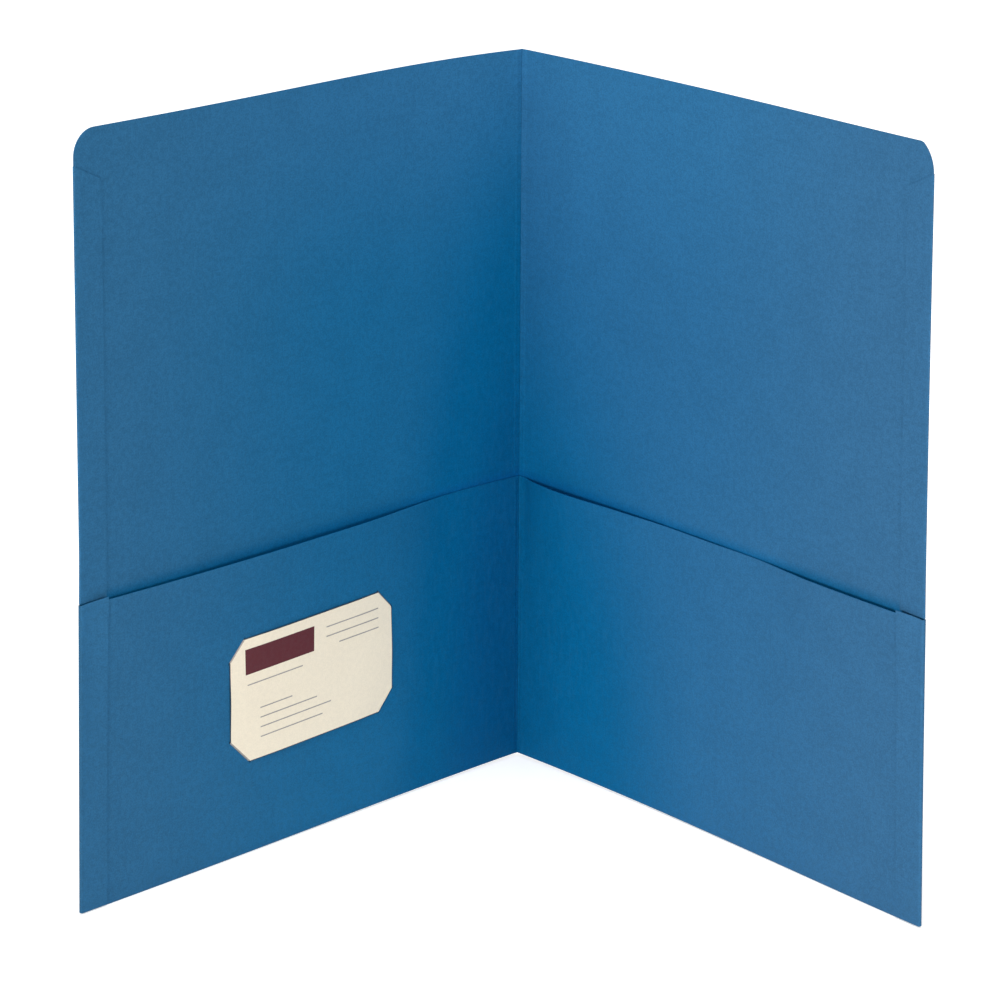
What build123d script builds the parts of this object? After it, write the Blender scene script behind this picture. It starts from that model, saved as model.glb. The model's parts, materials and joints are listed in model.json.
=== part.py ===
from build123d import *
import os
from math import cos, radians, sin, sqrt

# Two pocket folder, standing open on its bottom folds, in millimetres with +Z up.
# The spine is at the back (+Y) and the covers open towards the front (-Y).
# Each cover is built in its own frame: X out from its score, Y inward from its inner face, Z up.

# Folded sheet
cover_width = 241.3
cover_height = 298.45
sheet = 0.4
half_opening = 39.56
left_corner_radius = 10.2
right_corner_radius = 13.3
right_corner_drop = 10.8

# Pockets
pocket_height = 121.0
pocket_gap = 0.7
pocket_side_play = 0.4
pocket_spine_room = 0.2

# Side flaps, folded in and glued
flap_width = 12.9
flap_taper = 6.2
flap_rise = 1.0
left_flap_step = 2.6
flap_split = 0.5
glue_thickness = 0.1
glue_margin = 2.5

# Spine and creases
score_bead_radius = 0.3
score_play = 0.05
closing_room = 0.3
pocket_score_room = 0.15
fold_leg = 0.3
fold_rounding = 0.35

# Card held by its corners in four slits of the left pocket
card_width = 88.9
card_height = 50.8
card_thickness = 0.25
card_corner = 8.2
card_from_spine = 119.2
card_above_floor = 64.2
card_tilt = 1.0
card_play = 0.06
slit_overrun = 1.0
slit_angle = 45.0

# Layer positions, measured inward from a cover's inner face
pocket_front = pocket_gap + sheet
lower_flap_back = pocket_front + glue_thickness
lower_flap_front = lower_flap_back + sheet
card_back = pocket_front + card_play
card_front = card_back + card_thickness
tab_front = pocket_gap - card_play
tab_back = tab_front - card_thickness

# Positions along a cover, measured out from its score, and heights
upper_bend = glue_thickness / 2
lower_bend = lower_flap_back / 2
fold_line = cover_width - lower_bend - sheet
cover_start = score_bead_radius + score_play
pocket_start = pocket_front + pocket_spine_room
pocket_end = fold_line - pocket_side_play
flap_start = fold_line - flap_width
fold_top = sheet + fold_leg
lower_flap_top = pocket_height + flap_rise
upper_flap_low = lower_flap_top + flap_split
left_flap_top = cover_height - left_corner_radius - left_flap_step
right_flap_top = cover_height - right_corner_drop

# The spine is just wide enough for both pockets to close flat against each other
spine_width = lower_flap_front + lower_flap_front + closing_room
pocket_spine_width = spine_width - pocket_score_room - pocket_score_room

# Slits lie across the card's corners
corner_diagonal = card_corner * sqrt(2)
slit_length = corner_diagonal + slit_overrun + slit_overrun
slit_width = card_thickness + card_play + card_play


def block(x_low, x_high, y_low, y_high, z_low, z_high):
    solid = Box(x_high - x_low, y_high - y_low, z_high - z_low, align=(Align.MIN, Align.MIN, Align.MIN))
    return Pos(x_low, y_low, z_low) * solid


def plate(width, thickness, height):
    return Box(width, thickness, height, align=(Align.CENTER, Align.MIN, Align.CENTER))


def upright_rod(x, y, radius, z_low, z_high):
    rod = Cylinder(radius, z_high - z_low, align=(Align.CENTER, Align.CENTER, Align.MIN))
    return Pos(x, y, z_low) * rod


def cover_panel(corner_radius, corner_drop):
    panel = block(cover_start, fold_line, -sheet, 0, fold_top, cover_height)
    corner_x = fold_line - corner_radius
    corner_z = cover_height - corner_drop
    corner = block(corner_x, fold_line, -sheet, 0, corner_z, cover_height)
    round_end = Cylinder(corner_radius, sheet, align=(Align.CENTER, Align.CENTER, Align.MIN))
    corner -= Pos(corner_x, 0, corner_z) * Rot(90, 0, 0) * round_end
    return panel - corner


def bottom_fold(x_low, x_high):
    # A pressed crease that joins a cover to its pocket, with a narrow flat underside
    strip = block(x_low, x_high, -sheet, pocket_front, 0, fold_top)
    strip -= block(x_low, x_high, 0, pocket_gap, sheet, fold_top)
    underside = strip.edges().filter_by(Axis.X).group_by(Axis.Z)[0]
    return fillet(underside, fold_rounding)


def edge_fold(bend, z_low, z_high):
    # A half-round bend from the cover's outer edge to a side flap
    ring = upright_rod(fold_line, bend, bend + sheet, z_low, z_high)
    ring -= upright_rod(fold_line, bend, bend, z_low, z_high)
    outer_half = block(fold_line, fold_line + bend + sheet, -sheet, bend + bend + sheet, z_low, z_high)
    return ring & outer_half


def upper_flap(top):
    corners = [
        (fold_line, upper_flap_low),
        (fold_line, top),
        (flap_start, top - flap_taper),
        (flap_start, upper_flap_low),
    ]
    outline = make_face(Polyline([(x, glue_thickness, z) for x, z in corners], close=True))
    return extrude(outline, amount=sheet, dir=(0, 1, 0))


def lower_flap():
    return block(flap_start, fold_line, lower_flap_back, lower_flap_front, fold_top, lower_flap_top)


def upper_glue(top):
    inner = flap_start + glue_margin
    outer = fold_line - glue_margin
    low = upper_flap_low + glue_margin
    high = top - flap_taper - glue_margin
    return block(inner, outer, 0, glue_thickness, low, high)


def lower_glue():
    inner = flap_start + glue_margin
    outer = pocket_end - glue_margin
    low = fold_top + glue_margin
    high = pocket_height - glue_margin
    return block(inner, outer, pocket_front, lower_flap_back, low, high)


def plain_pocket():
    return block(pocket_start, pocket_end, pocket_gap, pocket_front, fold_top, pocket_height)


def card_place(shape):
    return Pos(card_from_spine, 0, card_above_floor) * Rot(0, card_tilt, 0) * shape


def corner_places():
    # The middle of each diagonal across a card corner, and the angle that turns X along it
    across = (card_width - card_corner) / 2
    up = (card_height - card_corner) / 2
    return [
        (across, up, slit_angle),
        (-across, up, -slit_angle),
        (-across, -up, slit_angle),
        (across, -up, -slit_angle),
    ]


def card_slits():
    slits = []
    for x, z, turn in corner_places():
        slot = plate(slit_length, sheet, slit_width)
        slits.append(card_place(Pos(x, pocket_gap, z) * Rot(0, turn, 0) * slot))
    return slits


def business_card():
    # The middle lies on the pocket, and each corner passes through its slit and lies behind it
    whole = plate(card_width, card_thickness, card_height)
    card = Pos(0, card_back, 0) * whole
    behind = Pos(0, tab_back, 0) * whole
    half_web = card_thickness / 2
    depth = card_front - tab_back
    web_length = corner_diagonal - card_thickness
    for x, z, turn in corner_places():
        outward = 1 if z > 0 else -1
        across_corner = Pos(x, tab_back, z) * Rot(0, turn, 0)
        beyond = Pos(0, 0, outward * card_corner / 2) * plate(slit_length, depth, card_corner)
        card -= across_corner * Pos(0, 0, outward * half_web) * beyond
        card += behind & (across_corner * Pos(0, 0, -outward * half_web) * beyond)
        card += across_corner * plate(web_length, depth, card_thickness)
    return card_place(card)


def side_nodes(side, corner_radius, corner_drop, flap_top, pocket):
    return {
        side + "_cover": cover_panel(corner_radius, corner_drop),
        side + "_bottom_fold": bottom_fold(pocket_start, fold_line),
        side + "_pocket": pocket,
        side + "_upper_fold": edge_fold(upper_bend, upper_flap_low, flap_top),
        side + "_upper_flap": upper_flap(flap_top),
        side + "_upper_glue": upper_glue(flap_top),
        side + "_lower_fold": edge_fold(lower_bend, fold_top, lower_flap_top),
        side + "_lower_flap": lower_flap(),
        side + "_lower_glue": lower_glue(),
    }


def spine_strip():
    half = spine_width / 2
    strip = block(-half, half, -sheet, 0, fold_top, cover_height)
    for x in (-half, half):
        strip += upright_rod(x, 0, score_bead_radius, fold_top, cover_height)
    return strip


def pocket_spine_strip():
    half = pocket_spine_width / 2
    return block(-half, half, pocket_gap, pocket_front, fold_top, pocket_height)


turn_in = radians(half_opening)
spine_frame = Plane(origin=(0, 0, 0), x_dir=(-1, 0, 0), z_dir=(0, 0, 1))
left_frame = Plane(
    origin=(-spine_width / 2, 0, 0),
    x_dir=(-sin(turn_in), -cos(turn_in), 0),
    z_dir=(0, 0, 1),
)

left_pocket = plain_pocket()
for slit in card_slits():
    left_pocket -= slit

left_side = side_nodes("left", left_corner_radius, left_corner_radius, left_flap_top, left_pocket)
left_side["business_card"] = business_card()
right_side = side_nodes("right", right_corner_radius, right_corner_drop, right_flap_top, plain_pocket())
spine_side = {
    "spine_strip": spine_strip(),
    "pocket_spine_strip": pocket_spine_strip(),
    "spine_bottom_fold": bottom_fold(-pocket_spine_width / 2, pocket_spine_width / 2),
}

nodes = {}
for name, shape in spine_side.items():
    nodes[name] = spine_frame.location * shape
for name, shape in left_side.items():
    nodes[name] = left_frame.location * shape
for name, shape in right_side.items():
    nodes[name] = mirror(left_frame.location * shape, about=Plane.YZ)

# The origin is under the middle of the standing folder
boxes = [shape.bounding_box() for shape in nodes.values()]
middle_x = (min(box.min.X for box in boxes) + max(box.max.X for box in boxes)) / 2
middle_y = (min(box.min.Y for box in boxes) + max(box.max.Y for box in boxes)) / 2
floor_z = min(box.min.Z for box in boxes)
to_middle = Pos(-middle_x, -middle_y, -floor_z)

os.makedirs("parts", exist_ok=True)
for name, shape in nodes.items():
    placed = to_middle * shape
    placed.label = name
    export_step(placed, "parts/" + name + ".step")
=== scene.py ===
import json
from math import cos, pi, radians, sin, sqrt
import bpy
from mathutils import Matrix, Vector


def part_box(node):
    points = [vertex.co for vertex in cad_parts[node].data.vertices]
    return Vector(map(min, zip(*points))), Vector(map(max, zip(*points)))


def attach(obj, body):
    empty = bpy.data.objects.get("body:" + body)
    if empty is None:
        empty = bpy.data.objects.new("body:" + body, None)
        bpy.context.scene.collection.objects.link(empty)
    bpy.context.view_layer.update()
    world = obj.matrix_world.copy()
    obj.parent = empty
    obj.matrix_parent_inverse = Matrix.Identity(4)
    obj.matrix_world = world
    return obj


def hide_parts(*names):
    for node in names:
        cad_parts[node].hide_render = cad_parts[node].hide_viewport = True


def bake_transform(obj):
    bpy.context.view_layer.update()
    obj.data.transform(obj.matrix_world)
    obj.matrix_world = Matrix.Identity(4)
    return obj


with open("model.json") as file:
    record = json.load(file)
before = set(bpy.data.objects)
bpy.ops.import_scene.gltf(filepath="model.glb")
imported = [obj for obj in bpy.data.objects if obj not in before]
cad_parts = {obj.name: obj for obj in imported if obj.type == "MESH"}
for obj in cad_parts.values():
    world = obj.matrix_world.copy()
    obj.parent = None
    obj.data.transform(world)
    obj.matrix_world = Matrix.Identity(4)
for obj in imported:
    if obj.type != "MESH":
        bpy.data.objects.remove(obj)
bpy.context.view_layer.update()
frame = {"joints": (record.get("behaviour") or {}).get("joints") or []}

from types import SimpleNamespace

import bmesh
import bpy
import numpy as np
from mathutils import Matrix, Vector

# A two pocket folder of blue paper, standing open, with a card in the slits of its left pocket.
# Shapes are worked out in millimetres and turned into metres when a mesh is made.
# A point of the folded sheet has three coordinates: s out from its score along the cover,
# n inward from the cover's inner face, and its height z.

mm = 0.001

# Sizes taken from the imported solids
joints = {joint["name"]: joint for joint in frame["joints"]}
score_place = joints["right_score"]["pos_m"]
half_spine = score_place[0] / mm
spine_back = score_place[1] / mm
cover_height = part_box("left_cover")[1].z / mm
pocket_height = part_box("left_pocket")[1].z / mm

# Sheet, folds and flaps
sheet = 0.4
cover_width = 241.3
fold_radius = 0.42
edge_inset = 1.0
flare_height = 140.0
upper_flap_width = 12.9
upper_flap_slant = 6.2
flap_split = 0.4
lower_flap_width = 11.8
lower_flap_rise = 0.1
lower_flap_low = 0.6
lower_flap_slant = -1.1
pocket_end_room = 0.6
glue = 0.06
glue_margin = 2.5

# Spine: two scores with a shallow valley between them
crease_reach = 0.7
valley_depth = 1.5
valley_round = 0.05
groove_depth = 0.3
groove_reach = 0.15
bead_height = 0.06
bead_reach = 0.3
spine_piece_reach = 0.6
spine_lift = 1.2
blend_back = 0.9
blend_out = 3.0

# How each side of the photographed folder stands: angles in degrees, lengths in millimetres.
# A bulge of the pocket's mouth rises from its first place along s to its crest, then falls again.
left = SimpleNamespace(
    name="left",
    outward=-1,
    opening=39.68,
    twist=-0.25,
    arch=-0.09,
    bow_low=1.2,
    bow_high=5.8,
    bow_pull=2.77,
    edge_flare=3.4,
    edge_taper=1.0,
    corner_radius=10.2,
    corner_drop=10.2,
    flap_drop=12.8,
    top_skew=0.3,
    bulges=[(30, 95, 115, 310, 4.2), (-20, -10, 35, 70, -0.15)],
)
right = SimpleNamespace(
    name="right",
    outward=1,
    opening=39.64,
    twist=-1.14,
    arch=0.63,
    bow_low=2.7,
    bow_high=2.1,
    bow_pull=1.68,
    edge_flare=0.9,
    edge_taper=1.0,
    corner_radius=13.3,
    corner_drop=11.3,
    flap_drop=11.3,
    top_skew=-0.4,
    bulges=[(-12, 29, 31, 95, 4.1), (50, 80, 112, 150, 0.8), (140, 182, 200, 330, 2.5)],
)
arch_mean = 0.08
skew_start = 100.0
bulge_start = 8.0
bulge_power = 3.0
pocket_rest = 0.75
press_start = 13.5
press_end = 1.5
press_share = 0.85

# Card, and the slits that hold its corners. A corner is its way out from the spine, its way up
# and the length of the card's edges behind its slit. The lower outer corner sits deeper.
card_width = 92.6
card_height = 51.2
card_thickness = 0.25
card_corner = 8.2
card_low_corner = 10.6
card_corners = [
    (1, 1, card_corner),
    (-1, 1, card_corner),
    (-1, -1, card_corner),
    (1, -1, card_low_corner),
]
card_from_score = 118.95
card_above_floor = 63.8
card_tilt = 1.0
card_play = 0.05
card_step = 0.4
# Width of the painted shadow band round the card's edges and along its corner cuts
card_shadow_rim = 0.35
card_bulge = 0.4
card_bulge_reach = 12.0
slit_width = 0.7
slit_overrun = 0.6

# Print on the card, in millimetres from its middle: a plain block as (left, right, bottom, top),
# and ruled lines to write on as (left, right, bottom)
print_block = (-38.0, 0.5, 10.6, 21.0)
print_rules = [
    (7.5, 38.0, 18.5),
    (7.5, 38.0, 14.5),
    (15.0, 38.0, 10.5),
    (-37.0, -6.0, 6.0),
    (-30.0, -12.0, -5.0),
    (-30.0, 2.0, -9.0),
    (-30.0, 10.0, -13.0),
    (-30.0, 5.0, -17.0),
]
rule_height = 0.5

# Places of the card's materials in its list
bare_card = 0
block_print = 1
rule_print_and_slit_shadow = 2
# Painted shadow round the card's edges and on its rim faces
shadow_rim = 3

# Spacing of the mesh lines
grid_step = 4.0
fold_rows = 12
fold_zone = 3.0
fold_zone_step = 1.0
top_zone = 28.0
top_step = 2.0
crease_zone = 2.0
crease_step = 0.12
flank_reach = 6.0
flank_step = 0.8
edge_zone = 14.0
corner_columns = 14
spine_step = 0.06
bend_columns = 11
flap_step = 1.6
card_grid = 3.0
card_grid_digits = 4
cut_tolerance = 1e-5
sharp_angle = 50.0

# The two faces of a sheet are told apart by the third number of their place on the blank
first_layer = 0.0
second_layer = 0.5

# Where painted light goes on the blue, in metres out from the spine and up from the bottom fold.
# Painted shade lies low down near the spine; the right half gets less painted shade at each height.
left_shade_reach = (-0.1, -0.01)
right_shade_reach = (0.0, 0.15)
shade_lean = 0.1
shade_heights = (0.05, 0.36)
right_shade_lift = 0.03
right_shade_share = 0.65
half_shade_share = 0.5
# Reaches of the painted sheen at the outer edges and of the painted light at the top
edge_sheen_reach = (0.08, 0.24)
top_light_reach = (0.2, 0.3)

# Painted shade in the pockets and just above their mouths, and painted shade on the fold of the left
# lower flap
flaps_out = (half_spine + cover_width) * mm
mouth_shade = ((pocket_height - 2.0) * mm, (pocket_height + 5.0) * mm)
# Reach of the painted shade on the left lower flap's fold
fold_shade_inner = (-flaps_out - 2.7 * mm, -flaps_out - 1.5 * mm)
fold_shade_outer = (-flaps_out, -flaps_out + 0.4 * mm)
fold_shade_top = (pocket_height + lower_flap_rise + flap_split / 2) * mm

# Colours
white = (1, 1, 1, 1)
# Painted shade colours of the blue: deepest low down near the spine, lighter a little further out and up
blue_deep_shade = (0.0, 0.072, 0.192, 1)
blue_half_shade = (0.0, 0.0915, 0.219, 1)
# Lit colours of each half, with a painted sheen at the outer edges and painted light at the top
blue_left_lit = (0.008, 0.111, 0.243, 1)
blue_left_edge_sheen = (0.022, 0.107, 0.218, 1)
blue_right_lit = (0.018, 0.1085, 0.2355, 1)
blue_right_edge_sheen = (0.029, 0.11, 0.221, 1)
blue_top_lit = (0.022, 0.124, 0.262, 1)
# Tint of the painted shade in the pockets and above their mouths
mouth_shade_tint = (0.0, 0.93, 1.12)
# Tint of the painted shade on the left lower flap's fold
fold_shade_tint = (0.8, 0.76, 0.75)
fibre_white = (0.12, 0.3, 0.4, 1)
speck_black = (0.01, 0.03, 0.08, 1)
card_cream = (0.79, 0.7, 0.545, 1)
block_plum = (0.09, 0.015, 0.02, 1)
# Grey of the ruled lines, also used for the painted shadow along the card's corner cuts
rule_and_slit_shadow_grey = (0.3, 0.28, 0.26, 1)
# Colour of the painted shadow round the card
shadow_rim_grey = (0.03, 0.055, 0.08, 1)
glue_dark = (0.55, 0.5, 0.38, 1)
glue_pale = (0.7, 0.66, 0.52, 1)

# Paper: noise scales are per metre, and weights are shares of its changes in tone or relief
noise_span = (0.3, 0.7)
cloud_scale = 60
cloud_weight = 0.12
mottle_scale = 450
mottle_weight = 0.38
mottle_relief = 0.6
grain_scale = 1500
grain_weight = 0.5
grain_relief = 0.4
rough_detail = 0.6
fibre_scale = (900, 180, 1)
fibre_turns = (20, -65)
fibre_span = (0.45, 0.8)
fibre_share = 0.025
speck_scale = 800
speck_span = (0.73, 0.8)
speck_share = 0.4
paper_roughness = (0.55, 0.75)
paper_bump = 0.2
blue_contrast = 0.15
blue_specular = 0.05
card_contrast = 0.04
card_specular = 0.2
print_contrast = 0.1
print_specular = 0.3
glue_scale = 300
glue_roughness = (0.25, 0.45)
glue_bump = 0.3
bump_depth = 0.0001

# Stage, in metres: a white floor, even light all round, two low lamps in front and one overhead
floor_size = 30.0
floor_colour = (0.8, 0.8, 0.8, 1)
floor_roughness = 0.9
floor_specular = 0.2
near_glow = 0.45
far_glow = 0.85
glow_reach = (0.2, 1.0)
world_strength = 0.3
lamp_aim = (0, 0, 0.15)
low_lamp = (1.2, 0.5)
key_place = (-1.3, -1.9, 0.4)
key_power = 37.2
fill_place = (1.2, -1.9, 0.4)
fill_power = 21.0
top_lamp = (1.2, 1.2)
top_place = (0, -0.2, 1.6)
top_power = 23.0

# Camera that took the photograph: its place in millimetres and its angles in degrees
camera_place = (55.64, -1541.2, 576.3)
camera_azimuth = -2.221
camera_elevation = 15.868
camera_roll = 0.311
camera_lens = 148.69
camera_sensor = 36


# Folded shape


def smooth(value, low, high):
    share = np.clip((value - low) / (high - low), 0, 1)
    return share * share * (3 - 2 * share)


def opening_at(side, z):
    level = z / cover_height - 0.5
    return np.radians(side.opening + side.twist * level + side.arch * (level**2 - arch_mean))


def bow_at(side, s, z):
    # The cover bulges outward, most of all near the spine
    share = np.clip(s / cover_width, 0, 1)
    crest = 1 / (side.bow_pull + 1)
    shape = share * (1 - share) ** side.bow_pull / (crest * (1 - crest) ** side.bow_pull)
    return (side.bow_low + (side.bow_high - side.bow_low) * z / cover_height) * shape


def lift_at(s, z):
    # The folder stands on its outer corners, so its bottom rises a little towards the spine
    return spine_lift * (1 - np.clip(s / cover_width, 0, 1)) ** 2 * (1 - z / cover_height)


def place(side, s, z, n):
    opening = opening_at(side, z)
    out = bow_at(side, s, z) - n
    x = side.outward * (half_spine + s * np.sin(opening) + out * np.cos(opening))
    y = spine_back - s * np.cos(opening) + out * np.sin(opening)
    return np.stack([x, y, z + lift_at(s, z)], axis=-1)


def pocket_offset(side, s, z):
    # Distance n of the pocket's middle surface: tight at the bottom fold, gaping at the mouth
    # and pressed flat again under the side flap
    rise = np.clip(z / pocket_height, 0, None)
    open_share = rise**bulge_power
    gape = 0
    for start, crest_start, crest_end, end, height in side.bulges:
        gape = gape + height * smooth(s, start, crest_start) * (1 - smooth(s, crest_end, end))
    pressed = smooth(s, cover_width - press_start, cover_width - press_end)
    gape = gape * smooth(s, 0, bulge_start) * (1 - press_share * pressed)
    at_fold = 2 * fold_radius - sheet / 2
    return at_fold + (pocket_rest - at_fold + gape) * open_share


def cover_edge(side, z):
    # Where the cover's middle surface ends and its side flaps start to turn in
    upper = side.edge_taper * np.clip((z - pocket_height) / (cover_height - pocket_height), 0, 1)
    lower = side.edge_flare * np.clip(1 - z / flare_height, 0, 1)
    return cover_width - edge_inset - upper + lower


def corner_top(side, s, edge):
    # Height of the cover's top over s, cut a little out of square, with its round outer corner
    radius = side.corner_radius
    from_centre = np.clip(s - (edge - radius), 0, radius)
    arc = np.sqrt(np.clip(radius**2 - from_centre**2, 0, None))
    top = np.minimum(cover_height, cover_height - side.corner_drop + arc)
    return top + side.top_skew * smooth(s, skew_start, cover_width)


def strip_place(side, q, z, n):
    # The flat of the spine between its scores, with a valley along its middle
    across = np.sqrt(q**2 + valley_round**2)
    back = valley_depth * (1 - across / half_spine) + groove_depth * np.exp(-((q / groove_reach) ** 2))
    x = side.outward * q
    return np.stack([x, spine_back - n + back, z + lift_at(0, z)], axis=-1)


def sheet_place(side, q, z, n):
    # A point at q from the middle of the spine, on the strip, round the crease or on the cover.
    # An inner layer of the sheet meets its crease nearer to the middle, by the shift.
    turn = pi / 2 - opening_at(side, z)
    shift = np.clip(n, 0, 2 * fold_radius) * np.tan(turn / 2)
    share = np.clip((q - half_spine) / cover_width, 0, 1)
    s = q - half_spine + shift * (1 - share)
    on_cover = place(side, np.maximum(s, 0), z, n)
    strip_end = half_spine - crease_reach
    crease_at = half_spine - shift
    on_strip = strip_place(side, np.minimum(q, strip_end) * crease_at / half_spine, z, n)
    corner = np.stack([side.outward * crease_at, spine_back - n, z + lift_at(0, z)], axis=-1)
    begin = strip_place(side, strip_end * crease_at / half_spine, z, n)
    finish = place(side, crease_reach + shift, z, n)
    along = np.clip((q - strip_end) / (2 * crease_reach), 0, 1)[..., None]
    curve = (1 - along) ** 2 * begin + 2 * along * (1 - along) * corner + along**2 * finish
    points = np.where((q < strip_end)[..., None], on_strip, curve)
    points = np.where((q > half_spine + crease_reach)[..., None], on_cover, points)
    bead = bead_height * np.exp(-(((q - half_spine) / bead_reach) ** 2))
    middle = pi / 4 + opening_at(side, z) / 2
    points[..., 0] -= bead * side.outward * np.cos(middle)
    points[..., 1] -= bead * np.sin(middle)
    return points


# Flat blank: q runs out from the middle of the spine and h up from the bottom fold.
# The cover lies at positive h and the pocket at negative h.

fold_half = pi * fold_radius / 2
fold_centre = fold_radius + sheet / 2
cover_end = cover_height - fold_centre + fold_half
pocket_end = -(pocket_height - fold_centre + fold_half)


def height_of(h):
    bend = np.clip(h / fold_half, -1, 1) * pi / 2
    return fold_centre + np.maximum(np.abs(h) - fold_half, 0) - fold_radius * np.cos(bend)


def blank_of(z):
    # The place on the blank's pocket leg that stands at height z
    return -(z - fold_centre + fold_half)


def fold_blank(side, q, h, forward=0):
    z = height_of(h)
    bend = np.clip(h / fold_half, -1, 1) * pi / 2
    on_fold = fold_radius - sheet / 2 - fold_radius * np.sin(bend)
    on_pocket = pocket_offset(side, np.maximum(q - half_spine, 0), z)
    n = np.where(h < -fold_half, on_pocket, on_fold) + forward
    return sheet_place(side, q, z, n)


def spread(low, high, step):
    return np.linspace(low, high, max(2, int(round((high - low) / step)) + 1))


def chain(*runs):
    # Joins runs of values that share their end values
    return np.concatenate([runs[0]] + [run[1:] for run in runs[1:]])


def blank_rows():
    return chain(
        spread(pocket_end, -fold_half - fold_zone, grid_step),
        spread(-fold_half - fold_zone, -fold_half, fold_zone_step),
        np.linspace(-fold_half, fold_half, fold_rows + 1),
        spread(fold_half, fold_half + fold_zone, fold_zone_step),
        spread(fold_half + fold_zone, cover_end - top_zone, grid_step),
        spread(cover_end - top_zone, cover_end, top_step),
    )


def side_blank(side):
    # Rows and columns of the blank of one side, as arrays of q and h
    rows = blank_rows()
    crease = spread(spine_piece_reach, half_spine + crease_zone, crease_step)
    flank = spread(half_spine + crease_zone, half_spine + flank_reach, flank_step)
    fixed = chain(crease, flank)
    inner_share = np.linspace(0, 1, int((cover_width - flank_reach - edge_zone) / grid_step) + 1)
    corner_share = np.sin(np.linspace(0, pi / 2, corner_columns))
    edge = cover_edge(side, height_of(rows))
    end = half_spine + edge - pocket_end_room * smooth(-rows, -fold_half, fold_half)
    corner_start = end[:, None] - side.corner_radius
    inner = fixed[-1] + (corner_start - fixed[-1]) * inner_share[None, 1:]
    outer = corner_start + side.corner_radius * corner_share[None, 1:]
    q = np.concatenate([np.repeat(fixed[None, :], len(rows), 0), inner, outer], axis=1)
    h = np.repeat(rows[:, None], q.shape[1], 1)
    # The uppermost rows are squeezed under the cover's top and its round corner
    top = corner_top(side, q - half_spine, (end - half_spine)[:, None]) - fold_centre + fold_half
    squeeze_from = cover_end - top_zone
    squeeze = (top - squeeze_from) / (cover_end - squeeze_from)
    h = np.where(h > squeeze_from, squeeze_from + (h - squeeze_from) * squeeze, h)
    return q, h


# Meshes


def grid_mesh(first, second):
    # A flat bmesh whose vertices hold two coordinates of the blank
    mesh = bmesh.new()
    rows, columns = first.shape
    lines = []
    for r in range(rows):
        lines.append([mesh.verts.new((first[r, c], second[r, c], 0)) for c in range(columns)])
    for line, following in zip(lines, lines[1:]):
        for c in range(columns - 1):
            mesh.faces.new((line[c], line[c + 1], following[c + 1], following[c]))
    return mesh


def flat_values(mesh):
    places = np.array([vertex.co for vertex in mesh.verts])
    return places[:, 0], places[:, 1]


def cut_line(mesh, faces, point, normal):
    edges = {edge for face in faces for edge in face.edges}
    vertices = {vertex for face in faces for vertex in face.verts}
    geometry = list(faces) + list(edges) + list(vertices)
    bmesh.ops.bisect_plane(mesh, geom=geometry, dist=cut_tolerance, plane_co=point, plane_no=normal)


def cut_slit(mesh, middle, along, length):
    across = Vector((-along.y, along.x, 0))
    for direction, reach in ((across, slit_width / 2), (along, length / 2)):
        for end in (-reach, reach):
            near = [f for f in mesh.faces if (f.calc_center_median() - middle).length < length]
            cut_line(mesh, near, middle + direction * end, direction)
    painted_mouth_shade = []
    for face in mesh.faces:
        offset = face.calc_center_median() - middle
        if abs(offset.dot(across)) < slit_width / 2 and abs(offset.dot(along)) < length / 2:
            painted_mouth_shade.append(face)
    bmesh.ops.delete(mesh, geom=painted_mouth_shade, context="FACES")


def thick_piece(name, flat, folded, thickness, outward, flip, materials, choose=None, rim_material=0):
    # Folds a flat bmesh with the points in folded and gives it two faces and a rim.
    # A function in choose picks the material of each first face from its place on the flat bmesh.
    flat.verts.index_update()
    flat_places = [tuple(vertex.co) for vertex in flat.verts]
    for vertex, point in zip(flat.verts, folded):
        vertex.co = point
    if flip:
        bmesh.ops.reverse_faces(flat, faces=flat.faces)
    flat.normal_update()
    count = len(flat.verts)
    offsets = [vertex.normal * thickness / 2 for vertex in flat.verts]
    front = [(vertex.co + offset) * mm for vertex, offset in zip(flat.verts, offsets)]
    back = [(vertex.co - offset) * mm for vertex, offset in zip(flat.verts, offsets)]
    faces = []
    chosen = []
    for face in flat.faces:
        ring = [vertex.index for vertex in face.verts]
        faces.append(ring)
        faces.append([index + count for index in reversed(ring)])
        middle = [sum(flat_places[i][axis] for i in ring) / len(ring) for axis in (0, 1)]
        chosen.append(choose(*middle) if choose else 0)
        chosen.append(0)
    for edge in flat.edges:
        if edge.is_boundary:
            loop = edge.link_loops[0]
            start = loop.vert.index
            end = loop.link_loop_next.vert.index
            faces.append([end, start, start + count, end + count])
            chosen.append(rim_material)
    flat.free()
    mesh = bpy.data.meshes.new(name)
    mesh.from_pydata(front + back, [], faces)
    mesh.polygons.foreach_set("material_index", chosen)
    mesh.polygons.foreach_set("use_smooth", [True] * len(faces))
    mesh.set_sharp_from_angle(angle=radians(sharp_angle))
    layers = (first_layer, second_layer)
    places = [(outward * x * mm, y * mm, layer) for layer in layers for x, y, _ in flat_places]
    flat_place = mesh.attributes.new("flat_place", "FLOAT_VECTOR", "POINT")
    flat_place.data.foreach_set("vector", np.array(places, np.float32).ravel())
    for material in materials:
        mesh.materials.append(material)
    piece = bpy.data.objects.new(name, mesh)
    bpy.context.scene.collection.objects.link(piece)
    return piece


# Card places: a runs out from the spine and b up, both from the card's middle


def corner_cuts():
    # Line across each card corner: its middle, the way along it, the way out to the corner, its length
    cuts = []
    for a, b, size in card_corners:
        outward = Vector((a, b, 0)).normalized()
        cut = SimpleNamespace(
            middle=Vector((a * (card_width - size) / 2, b * (card_height - size) / 2, 0)),
            along=Vector((-outward.y, outward.x, 0)),
            outward=outward,
            length=size * sqrt(2),
        )
        cuts.append(cut)
    return cuts


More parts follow.
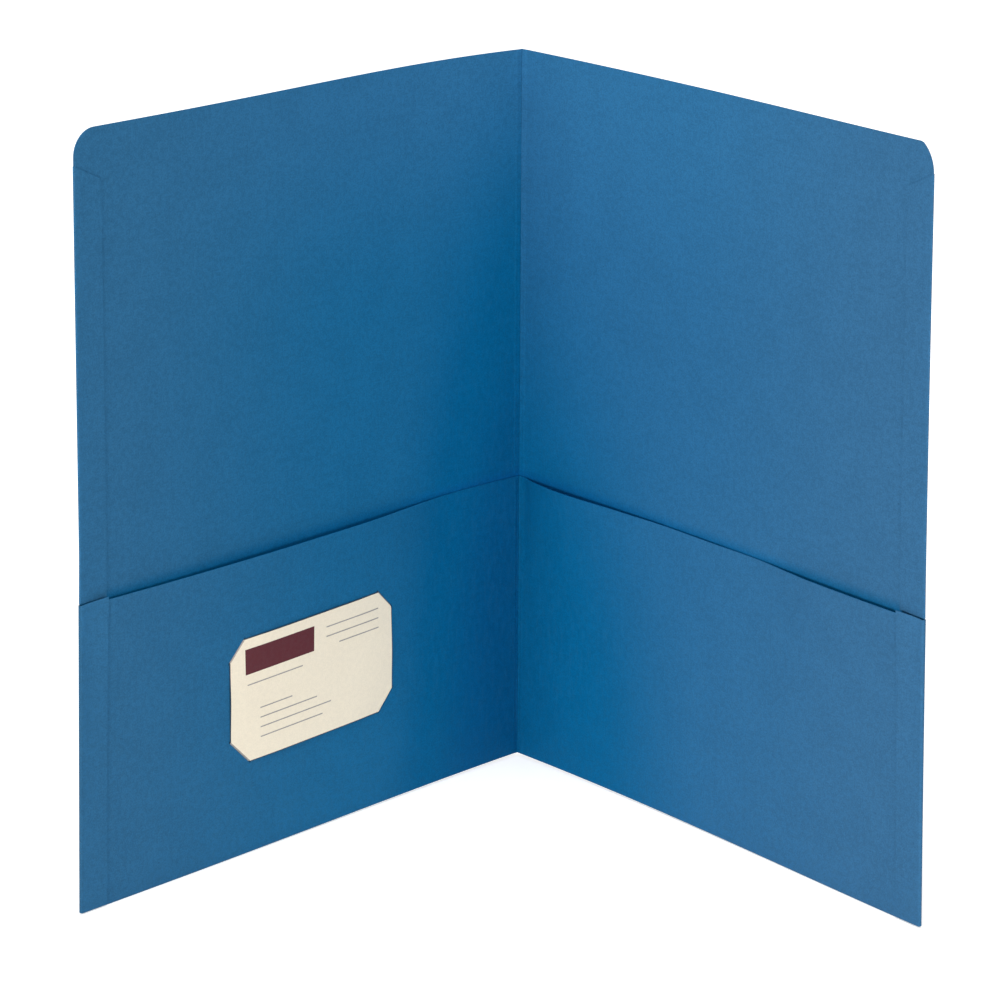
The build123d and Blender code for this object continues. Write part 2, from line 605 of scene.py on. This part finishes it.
card_cuts = corner_cuts()
card_print = [(block_print, *print_block)]
for rule_left, rule_right, rule_low in print_rules:
    card_print.append((rule_print_and_slit_shadow, rule_left, rule_right, rule_low, rule_low + rule_height))


def card_to_blank(a, b):
    # A card place on the flat blank of the left pocket
    tilt = radians(card_tilt)
    q = half_spine + card_from_score + cos(tilt) * a + sin(tilt) * b
    z = card_above_floor - sin(tilt) * a + cos(tilt) * b
    return q, blank_of(z)


def print_and_shadow_on_card(a, b):
    # Which material of the card shows at a place on its front: its print, or a painted shadow round its
    # edges and along its corner cuts
    past_edge = max(abs(a) - card_width / 2, abs(b) - card_height / 2)
    if past_edge > -card_shadow_rim:
        return shadow_rim
    past_cut = max((Vector((a, b, 0)) - cut.middle).dot(cut.outward) for cut in card_cuts)
    # Painted shadow along each corner cut, in the grey of the ruled lines
    if -card_shadow_rim < past_cut < card_step:
        return rule_print_and_slit_shadow
    for ink, low, high, bottom, top in card_print:
        if low < -a < high and bottom < b < top:
            return ink
    return bare_card


def card_lines(low, high, extra):
    # Even grid lines and the extra ones between them
    even = [round(value, card_grid_digits) for value in spread(low, high, card_grid)]
    return np.array(sorted(set(even + extra)))


# Pieces


def make_side(side, paper):
    mesh = grid_mesh(*side_blank(side))
    if side is left:
        for cut in card_cuts:
            start = Vector((*card_to_blank(*(cut.middle - cut.along)[:2]), 0))
            end = Vector((*card_to_blank(*(cut.middle + cut.along)[:2]), 0))
            cut_slit(mesh, (start + end) / 2, (end - start).normalized(), cut.length + 2 * slit_overrun)
    points = fold_blank(side, *flat_values(mesh))
    piece = thick_piece(side.name + "_sheet", mesh, points, sheet, side.outward, side is left, [paper])
    turn = radians(side.opening)
    hinge = (side.outward * half_spine * mm, spine_back * mm, 0)
    start = (hinge[0] - side.outward * blend_back * mm, hinge[1], 0)
    end = (hinge[0] + side.outward * blend_out * sin(turn) * mm, hinge[1] - blend_out * cos(turn) * mm, 0)
    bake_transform(piece)
    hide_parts(*[side.name + part for part in ("_cover", "_bottom_fold", "_pocket")])


def make_spine(paper):
    half = spread(0, spine_piece_reach, spine_step)
    columns = chain(-half[::-1], half)
    mesh = grid_mesh(*np.meshgrid(columns, blank_rows()))
    q, h = flat_values(mesh)
    points = np.where((q < 0)[:, None], fold_blank(left, np.abs(q), h), fold_blank(right, np.abs(q), h))
    piece = thick_piece("spine_sheet", mesh, points, sheet, 1, False, [paper])
    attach(piece, "spine")
    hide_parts("spine_strip", "spine_bottom_fold", "pocket_spine_strip")


def flap_shape(side, level):
    if level == "upper":
        high = cover_height - side.flap_drop
        return SimpleNamespace(
            low=pocket_height + lower_flap_rise + flap_split,
            high=high,
            width=upper_flap_width,
            slant=upper_flap_slant,
            glue_top=high - upper_flap_slant,
        )
    return SimpleNamespace(
        low=lower_flap_low,
        high=pocket_height + lower_flap_rise,
        width=lower_flap_width,
        slant=lower_flap_slant,
        glue_top=pocket_height,
    )


def flap_offset(side, level, s, z):
    # Distance n of a flap's middle surface, on the cover or on the pocket
    if level == "upper":
        return np.full(np.broadcast(s, z).shape, glue + sheet / 2)
    return pocket_offset(side, s, z) + sheet + glue


def flap_place(side, level, p, z):
    # A flap strip: p runs from the cover's edge round the bend and back over the cover
    edge = cover_edge(side, z)
    radius = (flap_offset(side, level, edge, z) + sheet / 2) / 2
    turn = np.clip(p / radius, 0, pi)
    back = np.maximum(p - pi * radius, 0)
    s = edge + radius * np.sin(turn) - back
    on_bend = -sheet / 2 + radius * (1 - np.cos(turn))
    n = np.where(back > 0, flap_offset(side, level, edge - back, z), on_bend)
    return place(side, s, z, n)


def make_flap(side, level, paper):
    shape = flap_shape(side, level)
    bend = pi * (flap_offset(side, level, cover_width, shape.high) + sheet / 2) / 2
    p = chain(np.linspace(0, bend, bend_columns), spread(bend, bend + shape.width, flap_step))
    share = np.linspace(0, 1, int((shape.high - shape.low) / grid_step) + 1)
    top = shape.high - shape.slant * np.clip((p - bend / 2) / shape.width, 0, 1)
    z = shape.low + (top[None, :] - shape.low) * share[:, None]
    blank_edge = half_spine + cover_width
    mesh = grid_mesh(np.broadcast_to(blank_edge + p, z.shape), z)
    q, z = flat_values(mesh)
    points = flap_place(side, level, q - half_spine - cover_width, z)
    name = f"{side.name}_{level}_flap"
    piece = thick_piece(name + "_sheet", mesh, points, sheet, side.outward, side is right, [paper])
    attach(piece, side.name + "_cover")
    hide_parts(name, f"{side.name}_{level}_fold")


def make_glue(side, level, material):
    shape = flap_shape(side, level)
    rows = spread(shape.low + glue_margin, shape.glue_top - glue_margin, grid_step)
    columns = spread(glue_margin - shape.width, -glue_margin, flap_step)
    mesh = grid_mesh(*np.meshgrid(columns, rows))
    from_edge, z = flat_values(mesh)
    s = cover_edge(side, z) + from_edge
    under = 0 if level == "upper" else pocket_offset(side, s, z) + sheet / 2
    points = place(side, s, z, under + glue / 2)
    name = f"{side.name}_{level}_glue"
    piece = thick_piece(name + "_line", mesh, points, glue, side.outward, side is left, [material])
    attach(piece, side.name + "_cover")
    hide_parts(name)


def make_card(*papers):
    half_a = card_width / 2
    half_b = card_height / 2
    print_columns = [-edge for box in card_print for edge in box[1:3]]
    print_rows = [edge for box in card_print for edge in box[3:]]
    columns = card_lines(-half_a, half_a, print_columns + [card_shadow_rim - half_a, half_a - card_shadow_rim])
    rows = card_lines(-half_b, half_b, print_rows + [card_shadow_rim - half_b, half_b - card_shadow_rim])
    mesh = grid_mesh(*np.meshgrid(columns, rows))
    for cut in card_cuts:
        for end in (-card_step, -card_shadow_rim, 0, card_step):
            cut_line(mesh, list(mesh.faces), cut.middle + cut.outward * end, cut.outward)
    a, b = flat_values(mesh)
    beyond = np.full(len(a), -half_a)
    for cut in card_cuts:
        past_cut = (a - cut.middle.x) * cut.outward.x + (b - cut.middle.y) * cut.outward.y
        beyond = np.maximum(beyond, past_cut)
    in_front = sheet / 2 + card_play + card_thickness / 2
    lift = card_bulge * smooth(-beyond, card_step, card_bulge_reach)
    forward = in_front * (1 - 2 * smooth(beyond, -card_step, card_step)) + lift
    points = fold_blank(left, *card_to_blank(a, b), forward)
    piece = thick_piece(
        "name_card", mesh, points, card_thickness, left.outward, True, papers, print_and_shadow_on_card, shadow_rim
    )
    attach(piece, "card")
    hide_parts("business_card")


# Materials


class Nodes:
    """Short calls to build one material's node tree."""

    def __init__(self, name):
        self.material = bpy.data.materials.new(name)
        self.material.use_nodes = True
        self.tree = self.material.node_tree
        self.shader = self.tree.nodes["Principled BSDF"]

    def add(self, kind, **settings):
        node = self.tree.nodes.new(kind)
        for name, value in settings.items():
            setattr(node, name, value)
        return node

    def link(self, output, target):
        self.tree.links.new(output, target)

    def place(self):
        return self.add("ShaderNodeAttribute", attribute_name="flat_place").outputs["Vector"]

    def noise(self, vector, scale, detail=2.0, roughness=0.5):
        node = self.add("ShaderNodeTexNoise")
        self.link(vector, node.inputs["Vector"])
        node.inputs["Scale"].default_value = scale
        node.inputs["Detail"].default_value = detail
        node.inputs["Roughness"].default_value = roughness
        return node.outputs["Fac"]

    def stretched(self, vector, turn, scale):
        node = self.add("ShaderNodeMapping")
        self.link(vector, node.inputs["Vector"])
        node.inputs["Rotation"].default_value = (0, 0, radians(turn))
        node.inputs["Scale"].default_value = scale
        return node.outputs["Vector"]

    def spread(self, value, low, high, new_low, new_high):
        node = self.add("ShaderNodeMapRange", interpolation_type="SMOOTHSTEP")
        self.link(value, node.inputs["Value"])
        limits = {"From Min": low, "From Max": high, "To Min": new_low, "To Max": new_high}
        for name, number in limits.items():
            node.inputs[name].default_value = number
        return node.outputs["Result"]

    def mix(self, share, first, second):
        node = self.add("ShaderNodeMix", data_type="RGBA")
        self.link(share, node.inputs["Factor"])
        for socket, colour in ((node.inputs["A"], first), (node.inputs["B"], second)):
            if isinstance(colour, tuple):
                socket.default_value = colour
            else:
                self.link(colour, socket)
        return node.outputs["Result"]

    def combine(self, operation, first, *others):
        for second in others:
            node = self.add("ShaderNodeMath", operation=operation)
            for socket, value in zip(node.inputs, (first, second)):
                if isinstance(value, (int, float)):
                    socket.default_value = value
                else:
                    self.link(value, socket)
            first = node.outputs["Value"]
        return first

    def size(self, value):
        node = self.add("ShaderNodeMath", operation="ABSOLUTE")
        self.link(value, node.inputs[0])
        return node.outputs["Value"]

    def length(self, vector):
        node = self.add("ShaderNodeVectorMath", operation="LENGTH")
        self.link(vector, node.inputs["Vector"])
        return node.outputs["Value"]

    def apart(self, vector):
        node = self.add("ShaderNodeSeparateXYZ")
        self.link(vector, node.inputs["Vector"])
        return node.outputs["X"], node.outputs["Y"], node.outputs["Z"]

    def scale(self, colour, share):
        node = self.add("ShaderNodeVectorMath", operation="SCALE")
        if isinstance(colour, tuple):
            node.inputs["Vector"].default_value = colour[:3]
        else:
            self.link(colour, node.inputs["Vector"])
        self.link(share, node.inputs["Scale"])
        return node.outputs["Vector"]

    def tint(self, colour, factors):
        node = self.add("ShaderNodeVectorMath", operation="MULTIPLY")
        self.link(colour, node.inputs[0])
        node.inputs[1].default_value = factors
        return node.outputs["Vector"]

    def bump(self, height, strength):
        node = self.add("ShaderNodeBump")
        node.inputs["Strength"].default_value = strength
        node.inputs["Distance"].default_value = bump_depth
        self.link(height, node.inputs["Height"])
        self.link(node.outputs["Normal"], self.shader.inputs["Normal"])


def blue_with_painted_light(nodes, vector):
    across, along, layer = nodes.apart(vector)
    out = nodes.size(across)
    up = nodes.size(along)
    on_right = nodes.combine("GREATER_THAN", across, 0)
    # Share of painted shade: most low down near the spine, where little light gets in, less on the right
    # half
    lean = nodes.combine("MULTIPLY", up, shade_lean)
    near_left = nodes.spread(nodes.combine("SUBTRACT", across, lean), *left_shade_reach, 0, 1)
    near_right = nodes.spread(nodes.combine("ADD", across, lean), *right_shade_reach, 1, 0)
    near_spine = nodes.combine("MINIMUM", near_left, near_right)
    led_up = nodes.combine("ADD", up, nodes.combine("MULTIPLY", on_right, right_shade_lift))
    low_down = nodes.spread(led_up, *shade_heights, 1, 0)
    half_share = nodes.spread(on_right, 0, 1, 1, right_shade_share)
    shade_share = nodes.combine("MULTIPLY", near_spine, low_down, half_share)
    # Lit colours, a little different on each half, with painted light towards the top and a painted sheen
    # towards the outer edges
    middle = nodes.mix(on_right, blue_left_lit, blue_right_lit)
    middle = nodes.mix(nodes.spread(up, *top_light_reach, 0, 1), middle, blue_top_lit)
    edge = nodes.mix(on_right, blue_left_edge_sheen, blue_right_edge_sheen)
    lit_blue = nodes.mix(nodes.spread(out, *edge_sheen_reach, 0, 1), middle, edge)
    half_shaded = nodes.mix(nodes.spread(shade_share, 0, half_shade_share, 0, 1), lit_blue, blue_half_shade)
    base = nodes.mix(nodes.spread(shade_share, half_shade_share, 1, 0, 1), half_shaded, blue_deep_shade)
    # Painted shade: no light gets inside the pockets, and little to the cover just above their mouths
    inner_face = nodes.spread(layer, first_layer, second_layer, 1, 0)
    under_mouth = nodes.spread(along, *mouth_shade, 1, 0)
    off_flaps = nodes.combine("LESS_THAN", out, flaps_out)
    painted_mouth_shade = nodes.combine("MULTIPLY", inner_face, under_mouth, off_flaps)
    base = nodes.mix(painted_mouth_shade, base, nodes.tint(base, mouth_shade_tint))
    # Painted shade darkens the round fold of the left lower flap
    in_fold = nodes.spread(across, *fold_shade_inner, 0, 1)
    past_edge = nodes.spread(across, *fold_shade_outer, 1, 0)
    under_split = nodes.combine("LESS_THAN", along, fold_shade_top)
    painted_fold_shade = nodes.combine("MULTIPLY", in_fold, past_edge, under_split, inner_face)
    return nodes.mix(painted_fold_shade, base, nodes.tint(base, fold_shade_tint))


def paper_material(name, colour, contrast, specular, flecked=False):
    # Paper with faint clouds, mottle and fine grain. Flecked paper also has pale fibres and a few dark
    # specks. The colour is one tuple, or a function that builds it from the place on the blank.
    nodes = Nodes(name)
    on_blank = nodes.place()
    base = colour(nodes, on_blank) if callable(colour) else colour
    clouds = nodes.noise(on_blank, cloud_scale, detail=3)
    mottle = nodes.noise(on_blank, mottle_scale, detail=3, roughness=rough_detail)
    grain = nodes.noise(on_blank, grain_scale, detail=2, roughness=rough_detail)
    weighted = ((clouds, cloud_weight), (mottle, mottle_weight), (grain, grain_weight))
    tones = [nodes.spread(noise, *noise_span, 0, weight) for noise, weight in weighted]
    tone = nodes.combine("ADD", *tones)
    base = nodes.scale(base, nodes.spread(tone, 0, 1, 1 - contrast, 1 + contrast))
    if flecked:
        stretched = [nodes.stretched(on_blank, turn, fibre_scale) for turn in fibre_turns]
        fibres = nodes.combine("MAXIMUM", *[nodes.noise(vector, 1, detail=2) for vector in stretched])
        base = nodes.mix(nodes.spread(fibres, *fibre_span, 0, fibre_share), base, fibre_white)
        specks = nodes.noise(on_blank, speck_scale, detail=1)
        base = nodes.mix(nodes.spread(specks, *speck_span, 0, speck_share), base, speck_black)
    nodes.link(base, nodes.shader.inputs["Base Color"])
    nodes.link(nodes.spread(mottle, *noise_span, *paper_roughness), nodes.shader.inputs["Roughness"])
    nodes.shader.inputs["Specular IOR Level"].default_value = specular
    coarse = nodes.combine("MULTIPLY", mottle, mottle_relief)
    fine = nodes.combine("MULTIPLY", grain, grain_relief)
    nodes.bump(nodes.combine("ADD", coarse, fine), paper_bump)
    return nodes.material


def glue_material():
    nodes = Nodes("dried_glue")
    film = nodes.noise(nodes.place(), glue_scale, detail=3)
    nodes.link(nodes.mix(film, glue_dark, glue_pale), nodes.shader.inputs["Base Color"])
    nodes.link(nodes.spread(film, *noise_span, *glue_roughness), nodes.shader.inputs["Roughness"])
    nodes.bump(film, glue_bump)
    return nodes.material


def floor_material():
    # A white floor: what the camera sees of it is white, and close to the object its shadow stays on it
    nodes = Nodes("white_floor")
    nodes.shader.inputs["Base Color"].default_value = floor_colour
    nodes.shader.inputs["Roughness"].default_value = floor_roughness
    nodes.shader.inputs["Specular IOR Level"].default_value = floor_specular
    rays = nodes.add("ShaderNodeLightPath").outputs
    seen_rays = [rays[kind] for kind in ("Is Camera Ray", "Is Glossy Ray", "Is Transmission Ray")]
    seen = nodes.combine("MAXIMUM", *seen_rays)
    away = nodes.length(nodes.add("ShaderNodeNewGeometry").outputs["Position"])
    glow = nodes.spread(away, *glow_reach, near_glow, far_glow)
    light = nodes.add("ShaderNodeEmission")
    nodes.link(nodes.combine("MULTIPLY", seen, glow), light.inputs["Strength"])
    both = nodes.add("ShaderNodeAddShader")
    nodes.link(nodes.shader.outputs["BSDF"], both.inputs[0])
    nodes.link(light.outputs["Emission"], both.inputs[1])
    nodes.link(both.outputs["Shader"], nodes.tree.nodes["Material Output"].inputs["Surface"])
    return nodes.material


# Stage


def make_floor():
    mesh = bpy.data.meshes.new("floor")
    half = floor_size / 2
    corners = [(-half, -half, 0), (half, -half, 0), (half, half, 0), (-half, half, 0)]
    mesh.from_pydata(corners, [], [(0, 1, 2, 3)])
    mesh.materials.append(floor_material())
    floor = bpy.data.objects.new("floor", mesh)
    bpy.context.scene.collection.objects.link(floor)


def make_world():
    # Even light all round, and plain white where the camera sees past the floor
    world = bpy.data.worlds.new("studio")
    bpy.context.scene.world = world
    world.use_nodes = True
    tree = world.node_tree
    light = tree.nodes["Background"]
    light.inputs["Color"].default_value = white
    light.inputs["Strength"].default_value = world_strength
    backdrop = tree.nodes.new("ShaderNodeBackground")
    backdrop.inputs["Color"].default_value = white
    backdrop.inputs["Strength"].default_value = 1
    rays = tree.nodes.new("ShaderNodeLightPath")
    blend = tree.nodes.new("ShaderNodeMixShader")
    tree.links.new(rays.outputs["Is Camera Ray"], blend.inputs["Fac"])
    tree.links.new(light.outputs["Background"], blend.inputs[1])
    tree.links.new(backdrop.outputs["Background"], blend.inputs[2])
    tree.links.new(blend.outputs["Shader"], tree.nodes["World Output"].inputs["Surface"])


def make_light(name, place_at, power, size):
    data = bpy.data.lights.new(name, "AREA")
    data.shape = "RECTANGLE"
    data.size, data.size_y = size
    data.energy = power
    lamp = bpy.data.objects.new(name, data)
    lamp.location = place_at
    lamp.rotation_euler = (Vector(lamp_aim) - Vector(place_at)).to_track_quat("-Z", "Y").to_euler()
    bpy.context.scene.collection.objects.link(lamp)


def make_camera():
    azimuth = radians(camera_azimuth)
    elevation = radians(camera_elevation)
    roll = radians(camera_roll)
    forward = Vector((sin(azimuth) * cos(elevation), cos(azimuth) * cos(elevation), -sin(elevation)))
    level = Vector((cos(azimuth), -sin(azimuth), 0))
    rise = level.cross(forward)
    across = cos(roll) * level + sin(roll) * rise
    up = cos(roll) * rise - sin(roll) * level
    data = bpy.data.cameras.new("camera")
    data.lens = camera_lens
    data.sensor_width = camera_sensor
    camera = bpy.data.objects.new("camera", data)
    turned = Matrix((across, up, -forward)).transposed().to_4x4()
    camera.matrix_world = Matrix.Translation(Vector(camera_place) * mm) @ turned
    bpy.context.scene.collection.objects.link(camera)
    bpy.context.scene.camera = camera


# Build

# Blue paper whose colour holds painted shade and a painted sheen
blue_paper = paper_material("blue_paper", blue_with_painted_light, blue_contrast, blue_specular, flecked=True)
card_paper = paper_material("card_paper", card_cream, card_contrast, card_specular)
block_paper = paper_material("block_print", block_plum, print_contrast, print_specular)
rule_and_slit_shadow_paper = paper_material("rule_print_and_slit_shadow", rule_and_slit_shadow_grey, print_contrast, print_specular)
# Material of the painted shadow round the card
shadow_rim_paper = paper_material("card_shadow_rim", shadow_rim_grey, print_contrast, card_specular)
dried_glue = glue_material()

for folder_side in (left, right):
    make_side(folder_side, blue_paper)
    for flap_level in ("upper", "lower"):
        make_flap(folder_side, flap_level, blue_paper)
        make_glue(folder_side, flap_level, dried_glue)
make_spine(blue_paper)
make_card(card_paper, block_paper, rule_and_slit_shadow_paper, shadow_rim_paper)

make_floor()
make_world()
make_light("key", key_place, key_power, low_lamp)
make_light("fill", fill_place, fill_power, low_lamp)
make_light("top", top_place, top_power, top_lamp)
make_camera()
bpy.context.scene.view_settings.view_transform = "Standard"
